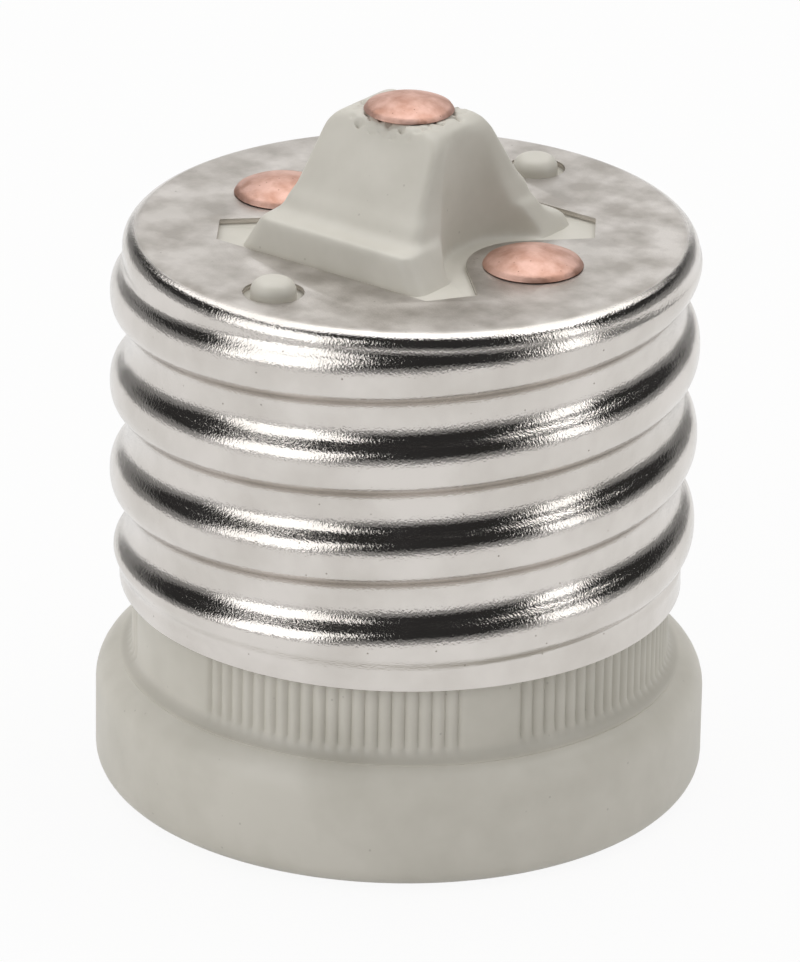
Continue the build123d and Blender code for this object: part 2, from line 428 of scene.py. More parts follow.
def add_node(
    tree: bpy.types.NodeTree,
    kind: str,
    inputs: dict[Any, Any] | None = None,
    stops: Sequence[tuple[float, tuple[float, ...]]] = (),
    **settings: Any,
) -> bpy.types.Node:
    """Adds one node with its settings, values and links.

    Args:
        tree: The node tree.
        kind: Blender's type name.
        inputs: For each input, an output socket to link or a value to set.
        stops: Place and colour of each stop in order, where the node has a colour ramp.
        settings: The node's own properties.

    Returns:
        The node.
    """
    node = tree.nodes.new(kind)
    for key, value in settings.items():
        setattr(node, key, value)
    for key, value in (inputs or {}).items():
        if isinstance(value, bpy.types.NodeSocket):
            tree.links.new(value, node.inputs[key])
        else:
            node.inputs[key].default_value = value
    for number, (place, colour) in enumerate(stops):
        element = node.color_ramp.elements[number]
        element.position, element.color = place, colour
    return node


def per_mm(size: float) -> float:
    """Texture scale that gives a pattern of one size in millimetres."""
    return 1 / (size * MM)


def grey(value: float) -> tuple[float, float, float, float]:
    """Plain grey for a mask's stop."""
    return value, value, value, 1.0


def new_material(name: str) -> tuple[bpy.types.Material, bpy.types.NodeTree, bpy.types.NodeSocket]:
    """Starts a node material.

    Args:
        name: The finish's name.

    Returns:
        The material, its empty tree with an output, and the output's surface socket.
    """
    look = bpy.data.materials.new(name)
    look.use_nodes = True
    tree = look.node_tree
    tree.nodes.clear()
    output = add_node(tree, "ShaderNodeOutputMaterial")
    return look, tree, output.inputs["Surface"]


# Dry-pressed electrical porcelain under a thin dull glaze. To the eye it is a warm grey-white with soft
# clouds, a few dark specks and a broad weak sheen; it is painted grey in its rib grooves, with painted shade at
# the neck's foot.
@dataclass(frozen=True)
class PressedPorcelain:
    """Finish of the porcelain body."""

    pale: str = "D6D2C8"
    deep: str = "C8C4B9"
    tint_stops: Point = (0.35, 0.65)
    # colour of the painted darkening: grey in the rib grooves, and painted shade at the neck's foot under the
    # shell
    groove: str = "8F8B80"
    speck: str = "8A857C"
    speck_mm: float = 1.5
    speck_stops: Point = (0.03, 0.07)
    speck_share: float = 0.35
    cloud_mm: float = 7.0
    grit_mm: float = 0.35
    grit_depth: float = 0.05
    grit_strength: float = 0.12
    roughness: Point = (0.36, 0.52)
    ior: float = 1.5

    def material(self) -> bpy.types.Material:
        """Builds the node material."""
        look, tree, surface = new_material("pressed_porcelain")
        place = add_node(tree, "ShaderNodeTexCoord").outputs["Object"]
        cloud = add_node(
            tree, "ShaderNodeTexNoise", {"Vector": place, "Scale": per_mm(self.cloud_mm), "Detail": 4.0}
        )
        stops = list(zip(self.tint_stops, (linear(self.deep), linear(self.pale))))
        tint = add_node(tree, "ShaderNodeValToRGB", {"Fac": cloud.outputs["Fac"]}, stops)
        spots = add_node(tree, "ShaderNodeTexVoronoi", {"Vector": place, "Scale": per_mm(self.speck_mm)})
        stops = list(zip(self.speck_stops, (grey(self.speck_share), grey(0.0))))
        dots = add_node(tree, "ShaderNodeValToRGB", {"Fac": spots.outputs["Distance"]}, stops)
        specked = add_node(
            tree,
            "ShaderNodeMix",
            {"Factor": dots.outputs["Color"], 6: tint.outputs["Color"], 7: linear(self.speck)},
            data_type="RGBA",
        )
        # painted darkening: grey in the rib grooves, and painted shade at the neck's foot where the shell
        # overhangs it
        groove_grey_and_foot_shade = add_node(tree, "ShaderNodeAttribute", attribute_name="groove")
        groove_and_foot_darkened = add_node(
            tree,
            "ShaderNodeMix",
            {"Factor": groove_grey_and_foot_shade.outputs["Fac"], 6: specked.outputs[2], 7: linear(self.groove)},
            data_type="RGBA",
        )
        grit = add_node(
            tree, "ShaderNodeTexNoise", {"Vector": place, "Scale": per_mm(self.grit_mm), "Detail": 3.0}
        )
        relief = add_node(
            tree,
            "ShaderNodeBump",
            {
                "Height": grit.outputs["Fac"],
                "Strength": self.grit_strength,
                "Distance": self.grit_depth * MM,
            },
        )
        dull = add_node(
            tree,
            "ShaderNodeMapRange",
            {"Value": cloud.outputs["Fac"], "To Min": self.roughness[0], "To Max": self.roughness[1]},
        )
        shader = add_node(
            tree,
            "ShaderNodeBsdfPrincipled",
            {
                "Base Color": groove_and_foot_darkened.outputs[2],
                "Roughness": dull.outputs["Result"],
                "Normal": relief.outputs["Normal"],
                "IOR": self.ior,
            },
        )
        tree.links.new(shader.outputs["BSDF"], surface)
        return look


@dataclass(frozen=True)
class RolledMetal:
    """Finish of a sheet or rivet: clouded metal with fine grain, pits and, on a flat top, satin and smudges."""

    name: str
    bright: str
    dull: str
    stain: str
    roughness: float
    spread: float
    cloud_mm: float
    grain_mm: float
    grain_depth: float
    pit_mm: float
    pit_share: float
    pit_strength: float = 0.8
    tint_stops: Point = (0.35, 0.62)
    satin: float = 0.0
    smudge: str = ""
    smudge_mm: float = 3.2
    smudge_stops: Point = (0.38, 0.64)
    smudge_least: float = 0.1
    dent_mm: float = 4.0
    dent_depth: float = 0.0

    def material(self) -> bpy.types.Material:
        """Builds the node material."""
        look, tree, surface = new_material(self.name)
        place = add_node(tree, "ShaderNodeTexCoord").outputs["Object"]
        cloud = add_node(
            tree, "ShaderNodeTexNoise", {"Vector": place, "Scale": per_mm(self.cloud_mm), "Detail": 5.0}
        )
        stops = list(zip(self.tint_stops, (linear(self.dull), linear(self.bright))))
        tint = add_node(tree, "ShaderNodeValToRGB", {"Fac": cloud.outputs["Fac"]}, stops)
        pits = add_node(tree, "ShaderNodeTexVoronoi", {"Vector": place, "Scale": per_mm(self.pit_mm)})
        stops = [(self.pit_share, grey(self.pit_strength)), (self.pit_share * 2, grey(0.0))]
        marks = add_node(tree, "ShaderNodeValToRGB", {"Fac": pits.outputs["Distance"]}, stops)
        pitted = add_node(
            tree,
            "ShaderNodeMix",
            {"Factor": marks.outputs["Color"], 6: tint.outputs["Color"], 7: linear(self.stain)},
            data_type="RGBA",
        )
        grain = add_node(
            tree, "ShaderNodeTexNoise", {"Vector": place, "Scale": per_mm(self.grain_mm), "Detail": 2.0}
        )
        dents = add_node(
            tree, "ShaderNodeTexNoise", {"Vector": place, "Scale": per_mm(self.dent_mm), "Detail": 1.0}
        )
        swell = add_node(
            tree,
            "ShaderNodeBump",
            {"Height": dents.outputs["Fac"], "Strength": 1.0, "Distance": self.dent_depth * MM},
        )
        relief = add_node(
            tree,
            "ShaderNodeBump",
            {
                "Height": grain.outputs["Fac"],
                "Strength": 1.0,
                "Distance": self.grain_depth * MM,
                "Normal": swell.outputs["Normal"],
            },
        )
        least, most = self.roughness - self.spread, self.roughness + self.spread
        shine = add_node(
            tree, "ShaderNodeMapRange", {"Value": cloud.outputs["Fac"], "To Min": least, "To Max": most}
        )
        flat = add_node(tree, "ShaderNodeAttribute", attribute_name="flat_top")
        gloss = add_node(
            tree,
            "ShaderNodeMath",
            {0: flat.outputs["Fac"], 1: self.satin, 2: shine.outputs["Result"]},
            operation="MULTIPLY_ADD",
        )
        colour = pitted.outputs[2]
        if self.smudge:
            smears = add_node(
                tree, "ShaderNodeTexNoise", {"Vector": place, "Scale": per_mm(self.smudge_mm), "Detail": 6.0}
            )
            stops = list(zip(self.smudge_stops, (grey(self.smudge_least), grey(1.0))))
            patches = add_node(tree, "ShaderNodeValToRGB", {"Fac": smears.outputs["Fac"]}, stops)
            share = add_node(
                tree,
                "ShaderNodeMath",
                {0: flat.outputs["Fac"], 1: patches.outputs["Color"]},
                operation="MULTIPLY",
            )
            smudged = add_node(
                tree,
                "ShaderNodeMix",
                {"Factor": share.outputs["Value"], 6: colour, 7: linear(self.smudge)},
                data_type="RGBA",
            )
            colour = smudged.outputs[2]
        shader = add_node(
            tree,
            "ShaderNodeBsdfPrincipled",
            {
                "Base Color": colour,
                "Metallic": 1.0,
                "Roughness": gloss.outputs["Value"],
                "Normal": relief.outputs["Normal"],
            },
        )
        tree.links.new(shader.outputs["BSDF"], surface)
        return look


# Nickel plated steel sheet, rolled to a thread. To the eye it is a bright, slightly warm mirror on the thread,
# whose reflections end in a fine sparkle, and a dull smudged disc on the flat top. The real grain is too fine
# to show, so it is drawn coarser, at about two pixels.
NICKEL = RolledMetal(
    name="nickel_plated_sheet",
    bright="D6D1CC",
    dull="C8C3BD",
    stain="8C857D",
    roughness=0.13,
    spread=0.03,
    cloud_mm=6.0,
    grain_mm=0.145,
    grain_depth=0.022,
    pit_mm=1.3,
    pit_share=0.03,
    satin=0.3,
    smudge="A8A29B",
    dent_mm=5.0,
    dent_depth=0.12,
)
# Copper rivet with a hammered head. To the eye it is a pale pink dull metal with darker brown patches.
COPPER = RolledMetal(
    name="headed_copper",
    bright="DDB8AA",
    dull="BF9482",
    stain="7C5445",
    roughness=0.52,
    spread=0.12,
    cloud_mm=1.4,
    grain_mm=0.3,
    grain_depth=0.03,
    pit_mm=0.6,
    pit_share=0.045,
)
# Drawn brass sheet inside the mouth. To the eye it is a yellow satin metal with a soft sheen and a few dark
# spots.
BRASS = RolledMetal(
    name="drawn_brass",
    bright="D9BE7C",
    dull="C4A663",
    stain="6E5A34",
    roughness=0.24,
    spread=0.08,
    cloud_mm=5.0,
    grain_mm=0.3,
    grain_depth=0.01,
    pit_mm=2.2,
    pit_share=0.03,
)


@dataclass
class ScrewShell:
    """Outer screw shell: rolled sheet with a round coarse thread and a flat pierced top."""

    foot: float = SHELL_FOOT
    top: float = SHELL_TOP
    pitch: float = 6.35
    crest: float = 19.65
    depth: float = 1.6
    crest_rise: float = 3.9
    skirt: float = 18.85
    skirt_band: float = 1.6
    rim: float = 18.7
    rim_band: float = 1.9
    rim_round: float = 1.2
    rim_steps: int = 8
    top_rings: Point = (16.6, 14.0)
    run_out_low: float = 1.1
    run_out_high: float = 0.2
    lead_in: float = 2.1
    lead_out: float = 1.6
    fade: float = 0.9
    ease: float = 0.2
    blend: float = 0.6
    sheet: float = SHEET
    segments: int = 240
    rings: int = 118
    opening_half: tuple[float, float] = (8.55, 9.35)
    tongue_radius: float = 4.35
    tongue_root: float = 0.3
    tongue_sweep: Point = (135.0, 225.0)
    tongue_steps: int = 24
    rivet_line: float = RIVET_LINE
    rivet_hole: float = 1.7
    pip_line: float = PIP_LINE
    pip_hole: float = 2.0
    edge_round: float = 0.07
    edge_angle: float = 75.0
    smooth_angle: float = 40.0
    flat_band: Point = (0.12, 0.02)

    @property
    def root(self) -> float:
        """Outer radius of the sheet in the thread's valley."""
        return self.crest - self.depth

    def wave(self, turn: float, height: float) -> float:
        """Radius of the endless rolled thread.

        Args:
            turn: Angle round the axis, in turns.
            height: Height above the floor.

        Returns:
            The outer radius there.
        """
        quarter = self.pitch / 4
        bend = (quarter**2 + (self.depth / 2) ** 2) / self.depth
        along = height - self.foot - self.crest_rise - turn * self.pitch
        off_crest = abs((along + self.pitch / 2) % self.pitch - self.pitch / 2)
        if off_crest < quarter:
            return self.crest - bend + math.sqrt(bend**2 - off_crest**2)
        off_root = 2 * quarter - off_crest
        return self.root + bend - math.sqrt(bend**2 - off_root**2)

    def radius(self, turn: float, height: float) -> float:
        """Radius of the shell, with the thread run out into the plain bands.

        Args:
            turn: Angle round the axis, in turns.
            height: Height above the floor.

        Returns:
            The outer radius there.
        """
        low = height - self.foot
        high = self.top - height
        skirt_end, rim_end = self.skirt_band + self.fade, self.rim_band + self.fade
        skirt_share = 1 - ramp(low, self.skirt_band - self.ease, skirt_end + self.ease)
        rim_share = 1 - ramp(high, self.rim_band - self.ease, rim_end + self.ease)
        floor_low = self.root + (self.skirt - self.root) * skirt_share
        floor = max(floor_low, self.root + (self.rim - self.root) * rim_share)
        rise_low = ramp(low, self.run_out_low, self.run_out_low + self.lead_in)
        rise_high = ramp(high, self.run_out_high, self.run_out_high + self.lead_out)
        roof = self.skirt + (self.crest - self.skirt) * rise_low
        roof_high = self.rim + (self.crest - self.rim) * rise_high
        raised = soft_most(self.wave(turn, height), floor, self.blend)
        return soft_least(raised, min(roof, roof_high), self.blend)

    def wall(self) -> bpy.types.Object:
        """Models the threaded wall, the rolled rim and the flat top as one skin."""
        edge = self.top - self.rim_round
        heights = (self.foot, edge)
        shell = threaded_wall("screw_shell", heights, self.root, self.segments, self.rings, self.radius)
        rounds = arc((self.rim - self.rim_round, edge), self.rim_round, 0, 90, self.rim_steps)
        draw_ring(rounds + [(ring, self.top) for ring in self.top_rings])
        bpy.ops.mesh.edge_face_add()
        face_outwards()
        apply_modifier(shell, "SOLIDIFY", thickness=self.sheet * MM, offset=-1.0, use_even_offset=True)
        return shell

    def opening(self) -> bpy.types.Object:
        """Makes the cutter for the nose's opening, with a round tongue left under each rivet."""
        half_length, half_width = self.opening_half
        flank = self.tongue_radius / math.sqrt(2)
        shoulder = 2 * flank + self.tongue_root
        outline: list[Point] = []
        for side in (1, -1):
            outline.append((-side * half_length, side * half_width))
            outline.append((side * half_length, side * half_width))
            outline.append((side * (self.rivet_line + self.tongue_root), side * shoulder))
            round_end = arc((self.rivet_line, 0), self.tongue_radius, *self.tongue_sweep, self.tongue_steps)
            outline.extend((side * x, side * y) for x, y in round_end)
            outline.append((side * (self.rivet_line + self.tongue_root), -side * shoulder))
        to_object_mode()
        bpy.ops.mesh.primitive_circle_add(vertices=len(outline), radius=1.0, fill_type="NGON")
        tool = take_new("opening_tool")
        low = self.top - 2 * self.sheet
        for vert, (x, y) in zip(tool.data.vertices, outline):
            vert.co = Vector((x, y, low)) * MM
        edit(tool)
        bpy.ops.mesh.select_all(action="SELECT")
        bpy.ops.mesh.extrude_region_move(TRANSFORM_OT_translate={"value": (0, 0, 3 * self.sheet * MM)})
        face_outwards()
        return tool

    def build(self, look: bpy.types.Material) -> bpy.types.Object:
        """Builds and dresses the shell.

        Args:
            look: Its material.

        Returns:
            The finished piece.
        """
        shell = self.wall()
        low, high = self.top - 2 * self.sheet, self.top + self.sheet
        tools = [self.opening()]
        for side in (1, -1):
            tools.append(rod("rivet_tool", (side * self.rivet_line, 0), self.rivet_hole, low, high))
            tools.append(rod("pip_tool", (0, side * self.pip_line), self.pip_hole, low, high))
        cut(shell, join(tools))
        limit = math.radians(self.edge_angle)
        width = self.edge_round * MM
        apply_modifier(shell, "BEVEL", width=width, segments=2, limit_method="ANGLE", angle_limit=limit)
        smooth(shell, self.smooth_angle)
        start, full = (self.top - below for below in self.flat_band)
        mark = shell.data.attributes.new("flat_top", "FLOAT", "POINT")
        for vert, item in zip(shell.data.vertices, mark.data):
            item.value = ramp(vert.co.z / MM, start, full)
        return finish_piece(shell, Slot.PLATE, look, "outer_screw_shell")


@dataclass
class PorcelainBody:
    """Pressed porcelain: collar, ribbed neck, core, nose on its plinth and two locating pips."""

    collar: float = 20.4
    collar_height: float = 8.4
    collar_top_round: float = 2.3
    collar_top_sweep: float = 72.0
    collar_foot_round: float = 1.6
    neck: float = 18.0
    neck_top: float = SHELL_FOOT + 1.0
    neck_edge: Point = (0.15, 0.5)
    neck_hollow: float = 0.9
    neck_hollow_rise: float = 0.85
    neck_hollow_end: float = 265.0
    neck_straight: float = 1.4
    core: float = 17.5
    core_step: float = 0.05
    core_edge: float = 0.4
    body_top: float = BODY_TOP
    inner_ring: float = 4.0
    cavity: float = 14.1
    cavity_depth: float = 26.0
    cavity_round: float = 0.6
    mouth_round: float = 0.7
    rib_count: int = 128
    rib_depth: float = 0.24
    rib_half: float = 0.42
    rib_power: float = 1.4
    rib_lead: Point = (0.05, 1.1)
    rib_reach: Point = (0.2, 0.02)
    points_per_rib: int = 6
    groove_grey: float = 0.12
    groove_lead: float = 1.2
    # share of painted shade at the neck's foot, where the shell overhangs it
    painted_foot_shade: float = 0.22
    foot_shade_band: Point = (0.1, 0.9)
    plain_lands: tuple[Point, ...] = ((-34.0, 9.5), (-113.0, 30.0))
    plinth: tuple[float, float] = (16.0, 17.6)
    plinth_top: float = SHELL_TOP + 1.9
    plinth_corner: float = 1.0
    plinth_slope: tuple[float, float] = (1.9, 0.5)
    ledge: tuple[float, float] = (0.1, 0.7)
    nose_foot: tuple[float, float] = (10.9, 12.2)
    nose_top_size: tuple[float, float] = (9.2, 6.6)
    nose_top: float = NOSE_TOP
    root_depth: float = 1.0
    nose_flare: tuple[Point, ...] = ((0.55, 0.12), (0.25, 0.45), (0.08, 1.0))
    nose_waist: tuple[float, float, float] = (0.45, 1.0, 1.7)
    nose_crown: tuple[tuple[float, float, float], ...] = ((0.0, 0.0, 1.0), (1.0, 0.7, 0.35), (2.4, 1.4, 0.0))
    voxel: float = 0.15
    smoothing: int = 34
    far_ledge_low: float = 0.4
    far_ledge_span: Point = (5.6, 8.2)
    far_ledge_move: tuple[float, float, float] = (0.0, 1.4, 0.5)
    chip_per_mm: float = 1.9
    chip_least: float = 0.02
    chip_depth: float = 0.75
    chip_ring: Point = (3.3, 4.1)
    chip_band: Point = (1.0, 0.5)
    tool_radius: float = 6.0
    rivet_line: float = RIVET_LINE
    rivet_hole: float = 1.7
    tip_hole: float = 1.6
    pip_line: float = PIP_LINE
    pip_radius: float = 1.5
    pip_top: float = SHELL_TOP + 0.9
    pip_round: float = 0.8
    pip_sweep: float = 82.0
    pip_crown: float = 0.3
    smooth_angle: float = 35.0

    def section(self) -> list[Point]:
        """Half section of the turned form, from the cavity's ceiling out and up to the core's top."""
        foot = (self.collar - self.collar_foot_round, self.collar_foot_round)
        shoulder = (self.collar - self.collar_top_round, self.collar_height - self.collar_top_round)
        ceiling = (self.cavity - self.cavity_round, self.cavity_depth - self.cavity_round)
        mouth = (self.cavity + self.mouth_round, self.mouth_round)
        hollow = (self.neck + self.neck_hollow, self.collar_height + self.neck_hollow_rise)
        edge_in, edge_drop = self.neck_edge
        points: list[Point] = [(self.inner_ring, self.cavity_depth)]
        points += arc(ceiling, self.cavity_round, 90, 0, 4)
        points += arc(mouth, self.mouth_round, 180, 270, 5)
        points += arc(foot, self.collar_foot_round, -90, 0, 9)
        points += arc(shoulder, self.collar_top_round, 0, self.collar_top_sweep, 8)
        points += arc(hollow, self.neck_hollow, self.neck_hollow_end, 180, 5)
        points += [(self.neck, self.collar_height + self.neck_straight), (self.neck, self.neck_top - edge_drop)]
        points += [(self.neck - edge_in, self.neck_top), (self.core, self.neck_top + self.core_step)]
        points += [(self.core, self.body_top - self.core_edge), (self.core - self.core_edge, self.body_top)]
        points.append((self.inner_ring, self.body_top))
        return points

    def is_plain(self, angle: float) -> bool:
        """Whether the neck is left without ribs at an angle in degrees."""
        return any(abs((angle - centre + 90) % 180 - 90) < span / 2 for centre, span in self.plain_lands)

    def groove(self, angle: float) -> float:
        """Share of the full groove depth at one angle.

        Args:
            angle: Angle round the neck in degrees.

        Returns:
            1 in the middle of a groove, 0 on a rib's crown.
        """
        step = 360 / self.rib_count
        off = abs(angle % step - step / 2) / step
        middle = round((angle - step / 2) / step) * step + step / 2
        if self.is_plain(middle):
            return 0.0
        return max(0.0, 1 - off / self.rib_half) ** self.rib_power

    def turned_form(self) -> bpy.types.Object:
        """Models the collar, the ribbed neck and the core."""
        form = turned("porcelain", self.section(), self.rib_count * self.points_per_rib)
        low, high = (self.collar_height + rise for rise in self.rib_lead)
        reach_low, reach_high = self.collar_height - self.rib_reach[0], self.neck_top + self.rib_reach[1]

        def ribbed(place: Vector) -> Vector:
            """Place of one point of the neck between the ribs."""
            radius = math.hypot(place.x, place.y)
            if not (reach_low < place.z < reach_high and radius > self.core + self.core_step):
                return place
            angle = math.degrees(math.atan2(place.y, place.x))
            depth = self.rib_depth * self.groove(angle) * ramp(place.z, low, high)
            share = (radius - depth) / radius
            return Vector((place.x * share, place.y * share, place.z))

        move_points(form, ribbed)
        return form

    def nose(self) -> bpy.types.Object:
        """Models the nose: a block is inset, drawn up and narrowed, then hollowed beside the rivets."""
        low = self.body_top - self.root_depth
        length, width = self.plinth
        to_object_mode()
        bpy.ops.mesh.primitive_cube_add(size=1.0, location=(0, 0, (low + self.plinth_top) / 2 * MM))
        nose = bpy.context.object
        nose.scale = (length * MM, width * MM, (self.plinth_top - low) * MM)
        nose = take_new("nose")
        edit(nose)
        pick(nose, Pick.EDGES, lambda middle, way: abs(way.z) > UPRIGHT)
        bpy.ops.mesh.bevel(offset=self.plinth_corner * MM, segments=3, affect="EDGES")
        pick(nose, Pick.FACES, lambda middle, normal: normal.z > UPRIGHT)
        narrow = (1 - 2 * self.plinth_slope[0] / length, 1 - 2 * self.plinth_slope[1] / width, 1)
        bpy.ops.transform.resize(value=narrow, center_override=(0, 0, 0))
        length -= 2 * self.plinth_slope[0]
        width -= 2 * self.plinth_slope[1]
        outer = (length - self.ledge[0], width - self.ledge[1])
        steps = [(self.plinth_top, *outer)]
        for share, rise in self.nose_flare:
            wide = (foot + (edge - foot) * share for foot, edge in zip(self.nose_foot, outer))
            steps.append((self.plinth_top + rise, *wide))
        waist_length, waist_width, waist_rise = self.nose_waist
        foot_length, foot_width = self.nose_foot
        steps.append((self.plinth_top + waist_rise, foot_length - waist_length, foot_width - waist_width))
        top_length, top_width = self.nose_top_size
        for in_length, in_width, drop in self.nose_crown:
            steps.append((self.nose_top - drop, top_length - in_length, top_width - in_width))
        height = self.plinth_top
        pick(nose, Pick.FACES, lambda middle, normal: normal.z > UPRIGHT)
        for next_height, next_length, next_width in steps:
            rise = (0, 0, (next_height - height) * MM)
            bpy.ops.mesh.extrude_region_move(TRANSFORM_OT_translate={"value": rise})
            scale = (next_length / length, next_width / width, 1)
            bpy.ops.transform.resize(value=scale, center_override=(0, 0, next_height * MM))
            height, length, width = next_height, next_length, next_width
        bpy.ops.mesh.select_all(action="SELECT")
        bpy.ops.mesh.remove_doubles(threshold=WELD)
        face_outwards()
        for side in (1, -1):
            place = (side * self.rivet_line, 0)
            cut(nose, rod("hollow_tool", place, self.tool_radius, self.body_top, self.nose_top + 1))
        apply_modifier(nose, "REMESH", mode="VOXEL", voxel_size=self.voxel * MM, use_smooth_shade=True)
        apply_modifier(nose, "SMOOTH", factor=0.5, iterations=self.smoothing)
        self.ease_far_ledge(nose)
        self.chip_seat(nose)
        return nose

    def ease_far_ledge(self, nose: bpy.types.Object) -> None:
        """Slopes the plinth's ledge on the far side, where it runs off without a step.

        Args:
            nose: The nose, in object mode.
        """
        low = self.body_top + self.far_ledge_low

        def eased(place: Vector) -> Vector:
            """Place of one point on the sloped ledge."""
            share = ramp(place.z, low, self.plinth_top) * ramp(place.y, *self.far_ledge_span)
            return place - share * Vector(self.far_ledge_move)

        move_points(nose, eased)

    def chip_seat(self, nose: bpy.types.Object) -> None:
        """Chips the porcelain a little round the tip rivet's head, where riveting has crushed it.

        Args:
            nose: The nose, in object mode.
        """
        start, full = (self.nose_top - below for below in self.chip_band)

        def chipped(place: Vector) -> Vector:
            """Place of one point of the chipped seat."""
            radius = math.hypot(place.x, place.y)
            near = ramp(place.z, start, full) * (1 - ramp(radius, *self.chip_ring))
            bite = max(0.0, noise.noise(place * self.chip_per_mm) - self.chip_least) * near
            return place - Vector((0, 0, self.chip_depth * bite))

        move_points(nose, chipped)

    def pips(self) -> list[bpy.types.Object]:
        """Models the two small round-topped pips."""
        centre = (self.pip_radius - self.pip_round, self.pip_top - self.pip_round)
        crown = arc(centre, self.pip_round, 0, self.pip_sweep, 6)
        foot = (self.pip_radius, self.body_top - self.root_depth)
        section = [foot, *crown, (self.pip_crown, self.pip_top)]
        first = turned("pip", section, 48)
        move_points(first, lambda place: place + Vector((0, self.pip_line, 0)))
        return [first, copy_moved(first, (0, -2 * self.pip_line, 0))]

    def paint_groove_grey_and_foot_shade(self, piece: bpy.types.Object) -> None:
        """Stores how dark each vertex is painted: grey in the rib grooves, and painted shade at the neck's
        foot.

        Args:
            piece: The finished porcelain.
        """
        foot_start, foot_end = (self.collar_height + rise for rise in self.foot_shade_band)
        lead_end = self.collar_height + self.groove_lead
        layer = piece.data.attributes.new("groove", "FLOAT", "POINT")
        for vert, item in zip(piece.data.vertices, layer.data):
            place = vert.co / MM
            radius = math.hypot(place.x, place.y)
            if self.collar_height < place.z < self.neck_top and radius > self.core:
                share = self.groove(math.degrees(math.atan2(place.y, place.x)))
                item.value = self.groove_grey * share * ramp(place.z, self.collar_height, lead_end)
                # painted shade at the neck's foot, under the shell's overhang
                item.value += self.painted_foot_shade * (1 - ramp(place.z, foot_start, foot_end))

    def build(self, look: bpy.types.Material) -> bpy.types.Object:
        """Builds and dresses the porcelain.

        Args:
            look: Its material.

        Returns:
            The finished piece.
        """
        body = self.turned_form()
        cut(body, join([self.nose(), *self.pips()]), "UNION")
        low = self.cavity_depth - 1
        tools = [rod("tip_tool", (0, 0), self.tip_hole, low, self.nose_top + 1, 64)]
        for side in (1, -1):
            place = (side * self.rivet_line, 0)
            tools.append(rod("rivet_tool", place, self.rivet_hole, low, self.body_top + 1, 64))
        cut(body, join(tools))
        self.paint_groove_grey_and_foot_shade(body)
        smooth(body, self.smooth_angle)
        return finish_piece(body, Slot.PORCELAIN, look, "porcelain_body")


@dataclass
class Rivets:
    """Copper rivets: the tip that is the base contact, and two that hold the shells."""

    shell_seat: float = SHELL_TOP
    shell_head: Point = (3.3, 1.15)
    shell_shank: float = 1.6
    shell_line: float = RIVET_LINE
    shell_clinch: float = 25.6
    tip_seat: float = NOSE_TOP
    tip_head: Point = (2.97, 0.95)
    tip_shank: float = 1.5
    tip_clinch: float = 25.5
    clinch: Point = (2.4, 0.8)
    clinch_round: float = 0.3
    clinch_ring: float = 0.6
    edge: float = 0.24
    edge_under: Point = (0.12, 0.08)
    crown_end: float = 89.0
    crown_steps: int = 16
    smooth_angle: float = 50.0
    segments: int = 96

    def one(self, name: str, seat: float, head: Point, shank: float, clinch_seat: float) -> bpy.types.Object:
        """Models one rivet on the axis.

        Args:
            name: The piece's name.
            seat: Height that the head rests on.
            head: The head's radius and rise.
            shank: The shank's radius.
            clinch_seat: Height that the spread end bears on.

        Returns:
            The rivet.
        """
        radius, rise = head
        bulge = rise - self.edge
        ball = (radius**2 + bulge**2) / (2 * bulge)
        low = math.degrees(math.acos(radius / ball))
        crown = arc((0, seat + rise - ball), ball, low, self.crown_end, self.crown_steps)
        spread, spread_rise = self.clinch
        end = clinch_seat - spread_rise
        under, lip = self.edge_under
        section = [(self.clinch_ring, end), (spread - self.clinch_round, end)]
        section += [(spread, end + self.clinch_round), (spread, clinch_seat), (shank, clinch_seat)]
        section += [(shank, seat), (radius - under, seat), (radius, seat + lip), *crown[1:]]
        return turned(name, section, self.segments)

    def build(self, look: bpy.types.Material) -> list[bpy.types.Object]:
        """Builds and dresses the rivets.

        Args:
            look: Their material.

        Returns:
            The tip rivet and the pair of shell rivets.
        """
        tip = self.one("tip_contact_rivet", self.tip_seat, self.tip_head, self.tip_shank, self.tip_clinch)
        head, shank = self.shell_head, self.shell_shank
        first = self.one("shell_rivet_pair", self.shell_seat, head, shank, self.shell_clinch)
        move_points(first, lambda place: place + Vector((self.shell_line, 0, 0)))
        pair = join([first, copy_moved(first, (-2 * self.shell_line, 0, 0))])
        for piece in (tip, pair):
            smooth(piece, self.smooth_angle)
        return [
            finish_piece(tip, Slot.COPPER, look, "tip_rivet"),
            finish_piece(pair, Slot.COPPER, look, "shell_rivets"),
        ]


